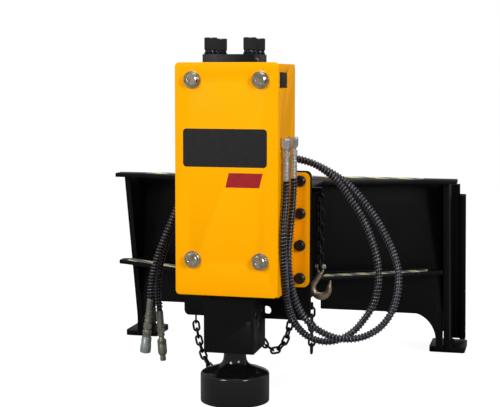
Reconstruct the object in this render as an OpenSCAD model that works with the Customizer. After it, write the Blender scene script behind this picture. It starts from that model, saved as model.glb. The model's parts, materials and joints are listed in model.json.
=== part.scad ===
// Hydraulic post driver: a boxed breaker hammer with a driving cup, carried in
// front of a skid-steer mounting frame. The origin is on the tool axis at the
// mouth of the driving cup, +Z is up and -Y is the front.

/* [Driving cup and tool] */
// Outside diameter of the driving cup
cup_od = 203; // [180:1:220]
// Inside diameter of the driving cup
cup_id = 176; // [150:2:180]
// Depth of the cup from its mouth
cup_depth = 62; // [40:1:70]
// Diameter of the tool shank
tool_d = 65; // [60:1:66]

/* [Hammer] */
// Width and depth of the square hammer body
body_w = 148; // [144:1:150]
// Width and depth of the back head
back_head_w = 151; // [148:1:152]
// Height of the underside of the front head
body_bottom = 155; // [152:1:165]
// Height of the joint between front head and cylinder
head_top = 400; // [395:1:405]
// Height of the joint between cylinder and back head
cylinder_top = 790; // [785:1:795]
// Height of the top face of the back head
back_head_top = 1012; // [1000:1:1020]

/* [Housing] */
// Width of the front plate
box_w = 300; // [290:1:304]
// Height of the lower edge of the housing
box_bottom = 327; // [320:1:335]
// Height of the upper edge of the front plate
box_top = 989; // [980:1:995]
// Front face of the front plate
box_front = -101; // [-106:1:-100]
// Back face of the rear plate
box_back = 126; // [124:1:128]
// Thickness of the housing plates
box_t = 12; // [10:1:12]

/* [Mounting frame] */
// Width of the deck
deck_w = 1180; // [1140:5:1200]
// Height of the top of the deck
deck_top = 613; // [605:1:620]
// Height of the top of the step
step_top = 300; // [295:1:305]
// Thickness of deck and step
deck_t = 14; // [12:1:16]
// Backward lean of the legs in degrees
lean = 13.5; // [12:0.5:14]
// Thickness of the feet
foot_t = 20; // [16:1:24]

/* [Chain and hoses] */
// Diameter of the chain wire
wire_d = 6.8; // [6.4:0.1:7]
// Outside diameter of the hoses over their spring guards
hose_d = 20; // [18:1:21]

/* [Hidden] */
$fn = 48;

// Running clearance between a shaft and its bore, on the radius
fit = 0.06;
// Cut that runs past a face
cut = 1;
// Gap left between plates that only touch
seam = 0.05;

// Hammer
half = body_w / 2;
back_half = back_head_w / 2;
tool_r = tool_d / 2;
cup_r = cup_od / 2;
shank_bottom = 153.5;
shank_top = 470;
spigot_r = 20;
bushing_r = 45;
bushing_h = 56;
pin_r = 14;
pin_y = 40;
pin_z = 268;
notch_y = 25;
plug_r = 8;
rod_x = 57;
rod_y = 53;
rod_r = 11.5;
rod_top = 1050;
nut_top = 1059;
nut_r = 21.4;
collar_r = 17;
collar_h = 7;
washer_t = 5;
chamber_r = 38;
guide_z = 490;
land_z = 560;
land_h = 100;
stroke = 50;
small_r = 30;
land_r = 36;
stem_r = 26;
piston_top = 850;
gas_r = 34;
retainer_r = 46;
retainer_h = 60;
spool_y = 56;
spool_r = 9;
spool_z = 600;
spool_h = 60;
port_z = 755;
port_y = [-60, 45];
port_x = 164;
elbow_h = 21;
elbow_half = 10.5;
adapter_r = 10;

// Housing
side_top = box_top - 4;
rear_top = side_top - 15;
corner_r = 13;
inner_x = box_w / 2 - box_t;
window = [-84, 19, 917, 962];
window_gap = 1;
case_x = 99;
case_z = [430, 940];
case_r = 12;
boss_y = 84;
bracket_x = 195;
bracket_z = [322, 666];
bracket_t = 12;
mount_y = box_back + bracket_t;
mount_t = 16;
mount_x = 197;
mount_z = [219, 670];
bracket_bolt_x = 167.5;
bracket_bolt_z = [349, 448, 544, 641];
bracket_bolt_r = 10;
lift_hole = [64, 245, 13];

// Frame
tower_x = 130;
tower_t = 12;
tower_bottom = 232;
deck_back = 665;
deck_z = deck_top - deck_t;
tongue_x = 175;
web_t = 10;
web_x = 142;
web_y = 535;
web_slope = 0.52;
leg_x = 545;
leg_t = 20;
leg_front = 633;
leg_front_z = 588;
leg_depth = 143;
plate_t = 12;
plate_bottom = 112;
plate_top = 600;
bar_x = 590;
bar_t = 20;
foot_x = [494.5, 617];
foot_y = [775, 915];
tape_t = 1;
pin_slot_x = 407;

// Chains: a link is a stadium of wire, and neighbours are link_step apart
wire_r = wire_d / 2;
link_r = 8.6;
link_half = 14.95;
link_step = 22.5;
slack = link_r - wire_d - 0.4;
lug_r = 12;
lug_hole_r = 8;
lug_t = 5;
lug_gap = 1.2;
hook_x = 205;
hook_y = 260;
hook_lug_z = 593.5;
tail_x = 196;
tail_y = 172;
tail_lug_z = 258;
first_link = lug_hole_r - wire_r - lug_gap;
upper_links = 5;
lower_links = 5;
clevis_z = hook_lug_z - first_link - 2 * link_half
    - (upper_links + lower_links - 1) * link_step + wire_d / 2 + 4.4;

// Drapes: start, azimuth and the slope of each link. A link in the plane of the
// drape turns about the centres of its own ends, the next one carries the slack.
// The left chain is also twisted about its own length.
left_start = [-162, 146, 190.5];
left_az = -19.6;
left_slopes = [-78, -77, -74, -70, -64, -54, -38, -6, 32, 54, 66, 72, 75];
left_twist = [34, 33, 31, 28, 23, 15, 6, 0, 0, 0, 0, 0, 0];
right_start = [50, 90, 199.5];
right_az = 35;
right_slopes = [-74, -68, -58, -37, 4, 44, 63, 74, 78];

// Hoses
hose_r = hose_d / 2;
clamp_gap = 0.5;
ferrule_r = 10;
hose_end_z = 655;
supply_route = [
    [164, -60, 655], [164, -60, 628], [164, -66, 590], [163, -78, 540],
    [162, -85, 490], [162, -77, 435], [161, -58, 384], [161, -31, 318],
    [171, 2, 252], [196, 27, 207], [228, 40, 185], [266, 49, 178],
    [305, 56, 187], [342, 63, 211], [371, 70, 246], [394, 76, 284], [406, 82, 328], [409, 90, 372],
    [402, 98, 422], [384, 106, 478], [356, 114, 537], [320, 122, 591],
    [280, 131, 640], [235, 141, 675], [190, 148, 697], [130, 152, 710],
    [60, 152, 714], [0, 152, 714], [-60, 154, 714], [-115, 160, 710],
    [-155, 166, 698], [-182, 168, 675], [-198, 168, 642], [-210, 166, 597],
    [-226, 160, 544], [-248, 154, 490], [-272, 151, 432], [-291.5, 150, 378],
    [-304.69, 150, 322], [-311, 150, 262], [-313.72, 150, 236.14],
];
return_route = [
    [164, 45, 655], [164, 45, 628], [164, 38, 590], [164, 20, 545],
    [164, -4, 495], [164, -21, 444], [166, -25, 395], [173, -20, 346],
    [191, -16, 291], [222, -16, 247], [267, -16, 217], [320, -12, 202],
    [375, 5, 206], [422, 26, 231], [452, 46, 271], [466, 62, 320],
    [468, 80, 373], [456, 96, 424], [429, 112, 479], [393, 128, 536],
    [349, 142, 590], [308, 155, 630], [262, 166, 660], [205, 176, 687],
    [140, 181, 703], [60, 183, 708], [0, 183, 708], [-60, 184, 708],
    [-112, 188, 703], [-149, 191, 690], [-176, 191, 664], [-196, 191, 625],
    [-217, 190, 572], [-241, 187, 510], [-263, 185, 450], [-280, 184, 395],
    [-291.5, 183, 345], [-296.5, 183, 285], [-292, 183, 219],
    [-290.19, 183, 193.06],
];
supply_end = [-311, 150, 262];
supply_tilt = 6;
return_end = [-292, 183, 219];
return_tilt = -4;
end_ferrule = 88;
end_ferrule_r = 11;
hose_grip = 26;
swivel_z = [714, 738];
swivel_r = 12.5;

function unit(v) = v / norm(v);
function heading(p, i) =
    i == 0 ? unit(p[1] - p[0])
    : i == len(p) - 1 ? unit(p[i] - p[i - 1])
    : unit(unit(p[i + 1] - p[i]) + unit(p[i] - p[i - 1]));
function ring(c, t, r, n) =
    let (u = unit(cross(t, [0, 1, 0])), v = cross(t, u))
    [for (k = [0:n - 1]) c + r * (cos(360 * k / n) * u + sin(360 * k / n) * v)];
function web_front(x) = web_y + web_slope * (x - web_x);
function leg_y(z) = leg_front + (leg_front_z - z) * tan(lean);
function slope_dir(az, s) = [cos(s) * cos(az), cos(s) * sin(az), sin(s)];
// Turning points of a draped chain, whose first link is in plane
function drape(p, az, slopes, i = 0) =
    i == len(slopes) ? [p]
    : let (l = i % 2 == 0 ? 2 * (link_half - link_r) : 2 * (link_half + slack))
    concat([p], drape(p + l * slope_dir(az, slopes[i]), az, slopes, i + 1));

// Sheet outlines drawn in X and Z, front face at y
module xz_plate(y, t) {
    translate([0, y + t, 0]) rotate([90, 0, 0]) linear_extrude(t) children();
}

// Sheet outlines drawn in Y and Z, left face at x
module yz_plate(x, t) {
    translate([x, 0, 0]) rotate([90, 0, 90]) linear_extrude(t) children();
}

module round_rect(a, b, r) {
    translate([a[0] + r, a[1]]) square([b[0] - a[0] - 2 * r, b[1] - a[1]]);
    translate([a[0], a[1] + r]) square([b[0] - a[0], b[1] - a[1] - 2 * r]);
    for (x = [a[0] + r, b[0] - r], z = [a[1] + r, b[1] - r])
        translate([x, z]) circle(r);
}

module both_sides() {
    children();
    mirror([1, 0, 0]) children();
}

module y_cylinder(y, h, r) {
    translate([0, y + h, 0]) rotate([90, 0, 0]) cylinder(r = r, h = h);
}

module x_cylinder(x, h, r) {
    translate([x, 0, 0]) rotate([0, 90, 0]) cylinder(r = r, h = h);
}

module tube(p, r, n = 10) {
    last = len(p) - 1;
    points = [for (i = [0:last]) each ring(p[i], heading(p, i), r, n)];
    sides = [for (i = [0:last - 1], k = [0:n - 1])
        let (a = i * n + k, b = i * n + (k + 1) % n)
        each [[a, b, a + n], [b, b + n, a + n]]];
    polyhedron(points, concat([[for (k = [n - 1:-1:0]) k]], sides,
        [[for (k = [0:n - 1]) last * n + k]]), convexity = 10);
}

// Chain link along Z in the XZ plane, centred on the origin
module link() {
    straight = 2 * (link_half - link_r);
    for (x = [-link_r, link_r])
        translate([x, 0, -straight / 2]) cylinder(r = wire_r, h = straight);
    for (s = [0, 180])
        rotate([0, s, 0]) translate([0, 0, straight / 2]) rotate([90, 0, 0])
            rotate_extrude(angle = 180) translate([link_r, 0]) circle(wire_r);
}

// Links from number a to number b that hang below a wire centre at top
module hanging_links(a, b, top) {
    for (k = [a:b])
        translate([0, 0, top - link_half - k * link_step])
            rotate([0, 0, k % 2 == 0 ? 0 : 90]) link();
}

module draped_links(start, az, slopes, twist) {
    p = drape(start, az, slopes);
    for (i = [0:len(slopes) - 1])
        translate((p[i] + p[i + 1]) / 2) rotate([0, 0, az])
            rotate([0, -90 - slopes[i], 0])
                rotate([0, 0, (i % 2 == 0 ? 0 : 90) + (twist ? twist[i] : 0)]) link();
}

// Welded eye whose hole runs along X
module eye() {
    difference() {
        x_cylinder(-lug_t / 2, lug_t, lug_r);
        x_cylinder(-lug_t / 2 - cut, lug_t + 2 * cut, lug_hole_r);
    }
}

// Hammer ---------------------------------------------------------------

module body_block(z0, z1) {
    translate([-half, -half, z0]) cube([body_w, body_w, z1 - z0]);
}

module rod_holes(z0, z1, r) {
    for (x = [-rod_x, rod_x], y = [-rod_y, rod_y])
        translate([x, y, z0]) cylinder(r = r, h = z1 - z0);
}

module front_head() {
    color("#1b1c1f") difference() {
        body_block(body_bottom, head_top);
        translate([0, 0, body_bottom - cut]) cylinder(r = tool_r + 3, h = head_top);
        translate([0, 0, body_bottom - cut]) cylinder(r = bushing_r, h = bushing_h + cut);
        translate([0, 0, head_top - bushing_h]) cylinder(r = bushing_r, h = bushing_h + cut);
        for (y = [-pin_y, pin_y])
            translate([0, y, pin_z]) x_cylinder(-half - cut, body_w + 2 * cut, pin_r);
        translate([58, 0, 245]) y_cylinder(-half - cut, 5, plug_r);
        translate([0, -21, 232]) x_cylinder(half - 4, 5, plug_r);
        rod_holes(330, head_top + cut, rod_r);
    }
}

module bushing(z) {
    translate([0, 0, z]) difference() {
        cylinder(r = bushing_r, h = bushing_h);
        translate([0, 0, -cut]) cylinder(r = tool_r + fit, h = bushing_h + 2 * cut);
    }
}

module lower_bushing() {
    color("#8a7a55") bushing(body_bottom);
}

module upper_bushing() {
    color("#8a7a55") bushing(head_top - bushing_h);
}

module retaining_pins() {
    color("#55585c") for (y = [-pin_y, pin_y])
        translate([0, y, pin_z]) x_cylinder(-half + 3, body_w - 6, pin_r);
}

module pin_plugs() {
    color("#101010") {
        translate([58, 0, 245]) y_cylinder(-half - 1, 5, plug_r);
        translate([0, -21, 232]) x_cylinder(half - 4, 5, plug_r);
    }
}

module cylinder_block() {
    color("#1b1c1f") difference() {
        body_block(head_top, cylinder_top);
        translate([0, 0, head_top - cut]) cylinder(r = chamber_r, h = guide_z - head_top + cut);
        translate([0, 0, guide_z - cut]) cylinder(r = small_r + fit, h = cylinder_top);
        translate([0, 0, guide_z + 50]) cylinder(r = land_r + fit, h = cylinder_top);
        translate([0, 0, cylinder_top - retainer_h / 2])
            cylinder(r = retainer_r, h = retainer_h);
        translate([0, spool_y, spool_z - 8]) cylinder(r = spool_r + fit, h = spool_h + 30);
        for (y = port_y) translate([0, y, port_z + elbow_h / 2])
            x_cylinder(half - 4, 5, adapter_r);
        rod_holes(head_top - cut, cylinder_top + cut, rod_r + 0.5);
    }
}

module seal_retainer() {
    color("#a7a9ac") translate([0, 0, cylinder_top - retainer_h / 2]) difference() {
        cylinder(r = retainer_r, h = retainer_h);
        translate([0, 0, -cut]) cylinder(r = stem_r + fit, h = retainer_h + 2 * cut);
        for (z = [12, 27, 42])
            translate([0, 0, z]) cylinder(r = stem_r + 4, h = 5);
    }
}

module piston_seals() {
    color("#2c3a2c") for (z = [12, 27, 42])
        translate([0, 0, cylinder_top - retainer_h / 2 + z]) difference() {
            cylinder(r = stem_r + 4, h = 5);
            translate([0, 0, -cut]) cylinder(r = stem_r + fit, h = 5 + 2 * cut);
        }
}

module back_head() {
    color("#1b1c1f") difference() {
        translate([-back_half, -back_half, cylinder_top])
            cube([back_head_w, back_head_w, back_head_top - cylinder_top]);
        translate([0, 0, cylinder_top - cut]) cylinder(r = gas_r, h = 180);
        translate([0, 0, cylinder_top - cut])
            cylinder(r = retainer_r, h = retainer_h / 2 + cut);
        rod_holes(cylinder_top - cut, back_head_top + cut, rod_r + 0.5);
    }
}

module charging_valve() {
    color("#b9b39a") translate([0, -55, 996]) {
        x_cylinder(back_half, 3, 6);
        x_cylinder(back_half + 3, 3, 4.5);
    }
}

module tie_rods() {
    color("#3a3c40") rod_holes(330, rod_top, rod_r);
}

module tie_rod_washers() {
    color("#1b1c1f") difference() {
        rod_holes(back_head_top, back_head_top + washer_t, 19);
        rod_holes(back_head_top - cut, back_head_top + washer_t + cut, rod_r + 0.5);
    }
}

module tie_rod_nuts() {
    hex_h = nut_top - back_head_top - washer_t - collar_h;
    color("#17181b") for (x = [-rod_x, rod_x], y = [-rod_y, rod_y])
        translate([x, y, back_head_top + washer_t]) difference() {
            union() {
                cylinder(r = collar_r, h = collar_h);
                translate([0, 0, collar_h]) rotate([0, 0, 15])
                    cylinder(r = nut_r, h = hex_h, $fn = 6);
            }
            translate([0, 0, -cut]) cylinder(r = rod_r, h = 60);
        }
}

module port_adapters() {
    color("#b4b7ba") for (y = port_y) translate([0, y, port_z + elbow_h / 2])
        difference() {
            x_cylinder(half - 4, port_x - elbow_half - half + 4, adapter_r);
            x_cylinder(half - 4 - cut, 200, 5);
        }
}

module port_elbows() {
    color("#c3c6ca") for (y = port_y) {
        translate([port_x - elbow_half, y - elbow_half, port_z])
            cube([2 * elbow_half, 2 * elbow_half, elbow_h]);
        translate([port_x, y, swivel_z[1]]) cylinder(r = 8, h = port_z - swivel_z[1]);
    }
}

module drive_cup() {
    neck = tool_r + 0.5;
    color("#141517") difference() {
        rotate_extrude() polygon([
            [0, 0], [cup_r - 2, 0], [cup_r, 2], [cup_r, 79], [cup_r - 3, 86],
            [cup_r - 10, 93], [78, 99], [58, 104], [46, 109], [38, 115],
            [neck + 1, 123], [neck, 132], [neck, shank_bottom], [0, shank_bottom],
        ]);
        translate([0, 0, -cut]) cylinder(d = cup_id, h = cup_depth + cut);
        translate([0, 0, 100]) cylinder(r = spigot_r, h = shank_bottom);
    }
}

module tool_shank() {
    color("#5d6065") difference() {
        union() {
            translate([0, 0, 100]) cylinder(r = spigot_r, h = shank_bottom - 100);
            translate([0, 0, shank_bottom]) cylinder(r = tool_r, h = shank_top - shank_bottom);
        }
        for (s = [-1, 1])
            translate([-50, s > 0 ? notch_y : -notch_y - 40, pin_z - pin_r - 1.5])
                cube([100, 40, 2 * pin_r + 43]);
    }
}

module piston() {
    color("#9b9ea3") {
        translate([0, 0, shank_top + 0.4]) cylinder(r = small_r, h = land_z - shank_top);
        translate([0, 0, land_z]) cylinder(r = land_r, h = land_h);
        translate([0, 0, land_z + land_h])
            cylinder(r = stem_r, h = piston_top - land_z - land_h);
    }
}

module valve_spool() {
    color("#9b9ea3") translate([0, spool_y, spool_z]) difference() {
        cylinder(r = spool_r, h = spool_h);
        for (z = [14, 38]) translate([0, 0, z]) difference() {
            cylinder(r = spool_r + cut, h = 8);
            translate([0, 0, -cut]) cylinder(r = 6, h = 10);
        }
    }
}

// Housing --------------------------------------------------------------

module front_plate() {
    color("#ffb000") difference() {
        xz_plate(box_front, box_t)
            round_rect([-box_w / 2, box_bottom], [box_w / 2, box_top], corner_r);
        for (x = [-case_x, case_x], z = case_z)
            translate([x, 0, z]) y_cylinder(box_front - cut, box_t + 2 * cut, case_r + 1);
    }
}

// Outline of a side plate in Y and Z, with a window relieved at its corners
module side_outline(windowed) {
    front = box_front + box_t;
    difference() {
        union() {
            translate([front, box_bottom])
                square([box_back - front - 15, side_top - box_bottom]);
            translate([front, box_bottom])
                square([box_back - front, side_top - box_bottom - 15]);
            translate([box_back - 15, side_top - 15]) circle(15);
        }
        if (windowed) {
            translate([window[0], window[2]])
                square([window[1] - window[0], window[3] - window[2]]);
            for (y = [window[0] + 3, window[1] - 3], z = [window[2], window[3]])
                translate([y, z]) circle(5);
        }
    }
}

module side_plate_left() {
    color("#ffa800") yz_plate(-box_w / 2, box_t) side_outline(true);
}

module side_plate_right() {
    color("#ffa800") difference() {
        yz_plate(inner_x, box_t) side_outline(true);
        for (y = port_y) translate([0, y, port_z + elbow_h / 2])
            x_cylinder(inner_x - cut, box_t + 2 * cut, adapter_r + 3);
    }
}

module rear_plate() {
    color("#ffa800") difference() {
        union() {
            translate([-inner_x, box_back - box_t, box_bottom])
                cube([2 * inner_x, box_t, rear_top - box_bottom]);
            for (x = [-case_x, case_x], z = case_z)
                translate([x, 0, z]) y_cylinder(boss_y, box_back - box_t - boss_y, 22);
        }
        for (x = [-case_x, case_x], z = case_z)
            translate([x, 0, z]) y_cylinder(boss_y - cut, 35, case_r);
    }
}

module bracket_plate() {
    color("#ffa800") difference() {
        xz_plate(box_back, bracket_t)
            round_rect([-bracket_x, bracket_z[0]], [bracket_x, bracket_z[1]], 18);
        bracket_holes(box_back, bracket_t);
    }
}

module bracket_holes(y, t) {
    for (x = [-bracket_bolt_x, bracket_bolt_x], z = bracket_bolt_z)
        translate([x, 0, z]) y_cylinder(y - cut, t + 2 * cut, bracket_bolt_r + 0.5);
}

module dampers() {
    tab = [window[0] + window_gap, window[2] + window_gap];
    tab_y = window[1] - window[0] - 2 * window_gap;
    tab_z = window[3] - window[2] - 2 * window_gap;
    color("#1d1d1f") for (s = [-1, 1], z = case_z)
        difference() {
            union() {
                translate([s > 0 ? back_half : -inner_x, window[0] + 2, z - 21])
                    cube([inner_x - back_half, 98, 42]);
                if (z == case_z[1]) translate([s > 0 ? inner_x : -inner_x - box_t + 1, tab[0], tab[1]])
                    cube([box_t - 1, tab_y, tab_z]);
            }
            translate([s * case_x, 0, z]) y_cylinder(-100, 200, case_r + 1);
        }
}

module case_bolts() {
    head_y = box_front - 4;
    color("#c9b458") for (x = [-case_x, case_x], z = case_z) translate([x, 0, z]) {
        translate([0, head_y, 0]) rotate([90, 0, 0]) rotate([0, 0, 30])
            cylinder(r = 20.8, h = 15, $fn = 6);
        y_cylinder(head_y, boss_y + 20 - head_y, case_r - 0.1);
    }
}

module case_washers() {
    color("#c9b458") for (x = [-case_x, case_x], z = case_z) translate([x, 0, z])
        difference() {
            y_cylinder(box_front - 4, 4, 24.5);
            y_cylinder(box_front - 5, 6, case_r + 0.5);
        }
}

module mount_plate() {
    color("#17181b") difference() {
        xz_plate(mount_y, mount_t)
            round_rect([-mount_x, mount_z[0]], [mount_x, mount_z[1]], 16);
        bracket_holes(mount_y, mount_t);
        for (s = [-1, 1]) translate([s * lift_hole[0], 0, lift_hole[1]])
            y_cylinder(mount_y - cut, mount_t + 2 * cut, lift_hole[2]);
    }
}

module bracket_bolts() {
    color("#101012") for (x = [-bracket_bolt_x, bracket_bolt_x], z = bracket_bolt_z)
        translate([x, 0, z]) {
            y_cylinder(box_back - 4, 4, 17);
            translate([0, box_back - 4, 0]) rotate([90, 0, 0])
                cylinder(r = 15.5, h = 10, $fn = 6);
            y_cylinder(box_back - 4, 52, bracket_bolt_r);
        }
}

module bracket_nuts() {
    y = mount_y + mount_t;
    color("#101012") for (x = [-bracket_bolt_x, bracket_bolt_x], z = bracket_bolt_z)
        translate([x, 0, z]) difference() {
            translate([0, y + 16, 0]) rotate([90, 0, 0])
                cylinder(r = 17.3, h = 16, $fn = 6);
            y_cylinder(y - cut, 20, bracket_bolt_r);
        }
}

// Block on top of the mounting plate with a bore for each hose
module hose_clamp() {
    z = mount_z[1];
    color("#202124") difference() {
        union() {
            translate([-20, mount_y - 4, z]) cube([40, 66, 64]);
            translate([-20, mount_y + mount_t, z - 40]) cube([40, 10, 40]);
        }
        translate([0, 152, 714]) x_cylinder(-30, 60, hose_r + clamp_gap);
        translate([0, 183, 708]) x_cylinder(-30, 60, hose_r + clamp_gap);
    }
}

// Frame ----------------------------------------------------------------

module tower_side(x) {
    back = leg_y(deck_z) + leg_depth;
    yz_plate(x, tower_t) polygon([
        [mount_y + mount_t, tower_bottom], [leg_y(tower_bottom) + leg_depth, tower_bottom],
        [back, deck_z], [mount_y + mount_t, deck_z],
    ]);
}

module tower_side_left() {
    color("#17181b") tower_side(-tower_x - tower_t);
}

module tower_side_right() {
    color("#17181b") tower_side(tower_x);
}

module deck() {
    w = deck_w / 2;
    color("#17181b") translate([0, 0, deck_z]) linear_extrude(deck_t) polygon([
        [w, deck_back], [w, 606], [488, 602], [355, 548], [236, 512], [tongue_x, 480],
        [tongue_x, mount_y + mount_t], [-tongue_x, mount_y + mount_t], [-tongue_x, 480],
        [-236, 512], [-355, 548], [-488, 602], [-w, 606], [-w, deck_back],
    ]);
}

module steps() {
    color("#17181b") translate([0, 0, step_top - deck_t]) linear_extrude(deck_t) {
        polygon([
            [web_x, 452], [165, 463], [345, 560], [508, 664], [leg_x, 690],
            [leg_x, web_front(leg_x)], [web_x, web_front(web_x)],
        ]);
        polygon([
            [-web_x, 452], [-165, 463], [-345, 522], [-443, 578], [-566, 640], [-594, 650],
            [-594, 690], [-leg_x - leg_t, 701], [-leg_x, 701],
            [-leg_x, web_front(leg_x)], [-web_x, web_front(web_x)],
        ]);
    }
}

// Web outline in its own plane: length along the web and Z
module web_outline() {
    run = sqrt(1 + web_slope * web_slope);
    length = (leg_x - web_x) * run;
    notch = (157 - web_x) * run;
    arch_x = (427 - web_x) * run;
    arch_r = 110;
    polygon([
        [0, tower_bottom], [notch, tower_bottom], [notch, 178], [arch_x, 152],
        [length, 152], [length, deck_z - seam], [0, deck_z - seam],
    ]);
    difference() {
        translate([arch_x, foot_t]) square([length - arch_x, 152 - foot_t]);
        translate([arch_x, 152 - arch_r]) circle(arch_r);
        translate([arch_x - cut, 0]) square([arch_r + cut, 152 - arch_r]);
    }
}

module web() {
    yaw = atan(web_slope);
    intersection() {
        translate([web_x, web_y, 0]) rotate([0, 0, yaw]) translate([0, web_t / cos(yaw), 0])
            rotate([90, 0, 0]) linear_extrude(web_t) web_outline();
        translate([web_x, 0, 0]) cube([leg_x - web_x, 1000, 700]);
    }
}

module web_right() {
    color("#17181b") web();
}

module web_left() {
    color("#17181b") mirror([1, 0, 0]) web();
}

// The leg's toe stands upright where the web ends against it
module leg(x) {
    toe_y = web_front(leg_x) + web_t / cos(atan(web_slope));
    toe_z = leg_front_z - (toe_y - leg_front) / tan(lean);
    yz_plate(x, leg_t) polygon([
        [toe_y, toe_z], [toe_y, foot_t], [leg_y(foot_t) + leg_depth, foot_t],
        [leg_y(deck_z) + leg_depth, deck_z], [leg_y(deck_z), deck_z],
    ]);
}

module leg_right() {
    color("#17181b") leg(leg_x);
}

module leg_left() {
    color("#17181b") leg(-leg_x - leg_t);
}

module feet() {
    color("#17181b") both_sides() linear_extrude(foot_t)
        round_rect([foot_x[0], foot_y[0]], [foot_x[1], foot_y[1]], 12);
}

// Places its children in the leaning plane of the loader plate: X across,
// Y through the plate from its front face, Z up the slope from the floor
module loader_frame() {
    translate([0, leg_y(0) + leg_depth + seam, 0]) rotate([lean, 0, 0]) children();
}

module loader_plate() {
    color("#17181b") loader_frame() difference() {
        xz_plate(0, plate_t) union() {
            translate([-bar_x, 230]) square([2 * bar_x, plate_top - 230]);
            for (s = [-1, 1]) translate([s > 0 ? 330 : -bar_x, plate_bottom])
                square([bar_x - 330, 130]);
            for (x = [-bar_x, leg_x]) translate([x, 24]) square([bar_x - leg_x, 100]);
        }
        for (x = [-250, 250]) translate([0, -cut, 0]) xz_plate(0, plate_t + 2 * cut)
            round_rect([x - 90, 290], [x + 90, 470], 30);
    }
}

module side_bars() {
    bar_y = plate_t - 20;
    bar_z = [24, 566];
    color("#17181b") both_sides() loader_frame() yz_plate(bar_x, bar_t) {
        translate([bar_y, bar_z[0]]) square([20, bar_z[1] - bar_z[0] - 8]);
        translate([bar_y + 8, bar_z[0]]) square([4, bar_z[1] - bar_z[0]]);
        for (y = [bar_y + 8, bar_y + 12]) translate([y, bar_z[1] - 8]) circle(8);
    }
}

module hook_lip() {
    color("#17181b") loader_frame() yz_plate(-575, 1150) polygon([
        [plate_t, plate_top], [plate_t, plate_top - 20], [52, plate_top - 58],
        [62, plate_top - 48], [22, plate_top - 6],
    ]);
}

module lock_lips() {
    color("#17181b") both_sides() loader_frame() difference() {
        yz_plate(340, 235) polygon([
            [plate_t, plate_bottom], [plate_t, plate_bottom + 14], [62, plate_bottom + 34],
            [62, plate_bottom + 20],
        ]);
        translate([pin_slot_x - 25, 24, plate_bottom - 10]) cube([50, 22, 60]);
    }
}

module grip_tape() {
    deck_y = 610;
    color("#b8a94a") {
        translate([-480, deck_y, deck_top]) cube([960, 50, tape_t]);
        translate([-150, 200, deck_top]) cube([300, 50, tape_t]);
        translate([0, 0, step_top]) linear_extrude(tape_t) {
            polygon([[175, 470], [345, 562], [495, 658], [495, 694], [345, 604], [175, 510]]);
            polygon([[-175, 470], [-345, 526], [-443, 582], [-560, 642], [-566, 690],
                [-443, 624], [-345, 568], [-175, 510]]);
        }
    }
}

// Chains and hook ------------------------------------------------------

module chain_lugs() {
    left = drape(left_start, left_az, left_slopes);
    right = drape(right_start, right_az, right_slopes);
    ring_up = [0, 0, lug_hole_r + link_r - wire_r - lug_gap];
    color("#17181b") {
        translate([hook_x, hook_y, hook_lug_z]) difference() {
            union() {
                x_cylinder(-lug_t / 2, lug_t, lug_r);
                translate([tongue_x - hook_x, -10, 4])
                    cube([hook_x - tongue_x + lug_t / 2, 20, deck_top - 2 - hook_lug_z - 4]);
            }
            x_cylinder(-40, 60, lug_hole_r);
        }
        translate([tail_x, tail_y, tail_lug_z]) difference() {
            union() {
                x_cylinder(-lug_t / 2, lug_t, lug_r);
                translate([-lug_t / 2, mount_y + mount_t - tail_y, 0])
                    cube([lug_t, tail_y - mount_y - mount_t, lug_r]);
            }
            x_cylinder(-lug_t / 2 - cut, lug_t + 2 * cut, lug_hole_r);
        }
        plate_eye(left[0] + ring_up, left_az + left_twist[0]);
        plate_eye(right[len(right_slopes)] + ring_up, right_az);
        block_eye(left[len(left_slopes)] + ring_up, left_az);
        block_eye(right[0] + ring_up, right_az);
    }
}

// Eye that hangs under the mounting plate
module plate_eye(p, az) {
    difference() {
        translate(p) rotate([0, 0, az]) {
            eye();
            difference() {
                translate([-lug_t / 2, -lug_hole_r, 0]) cube([lug_t, 2 * lug_hole_r, 30]);
                x_cylinder(-lug_t / 2 - cut, lug_t + 2 * cut, lug_hole_r);
            }
        }
        translate([-mount_x, mount_y - 40, mount_z[0]]) cube([2 * mount_x, 100, 60]);
    }
}

// Eye on a stem that is welded to the back of the front head
module block_eye(p, az) {
    difference() {
        union() {
            translate(p) rotate([0, 0, az]) eye();
            translate([p[0] - lug_t / 2, half, p[2]]) cube([lug_t, p[1] - half, lug_r]);
        }
        translate(p) rotate([0, 0, az]) x_cylinder(-20, 40, lug_hole_r);
    }
}

module hook_chain_upper() {
    color("#2a2b2e") translate([hook_x, hook_y, 0])
        hanging_links(0, upper_links - 1, hook_lug_z - first_link);
}

module hook_chain_lower() {
    color("#2a2b2e") translate([hook_x, hook_y, 0])
        hanging_links(upper_links, upper_links + lower_links - 1, hook_lug_z - first_link);
}

module tail_chain() {
    color("#2a2b2e") translate([tail_x, tail_y, 0])
        hanging_links(0, 5, tail_lug_z - first_link);
}

module safety_chain_left() {
    color("#2a2b2e") draped_links(left_start, left_az, left_slopes, left_twist);
}

module safety_chain_right() {
    color("#2a2b2e") draped_links(right_start, right_az, right_slopes, false);
}

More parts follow.
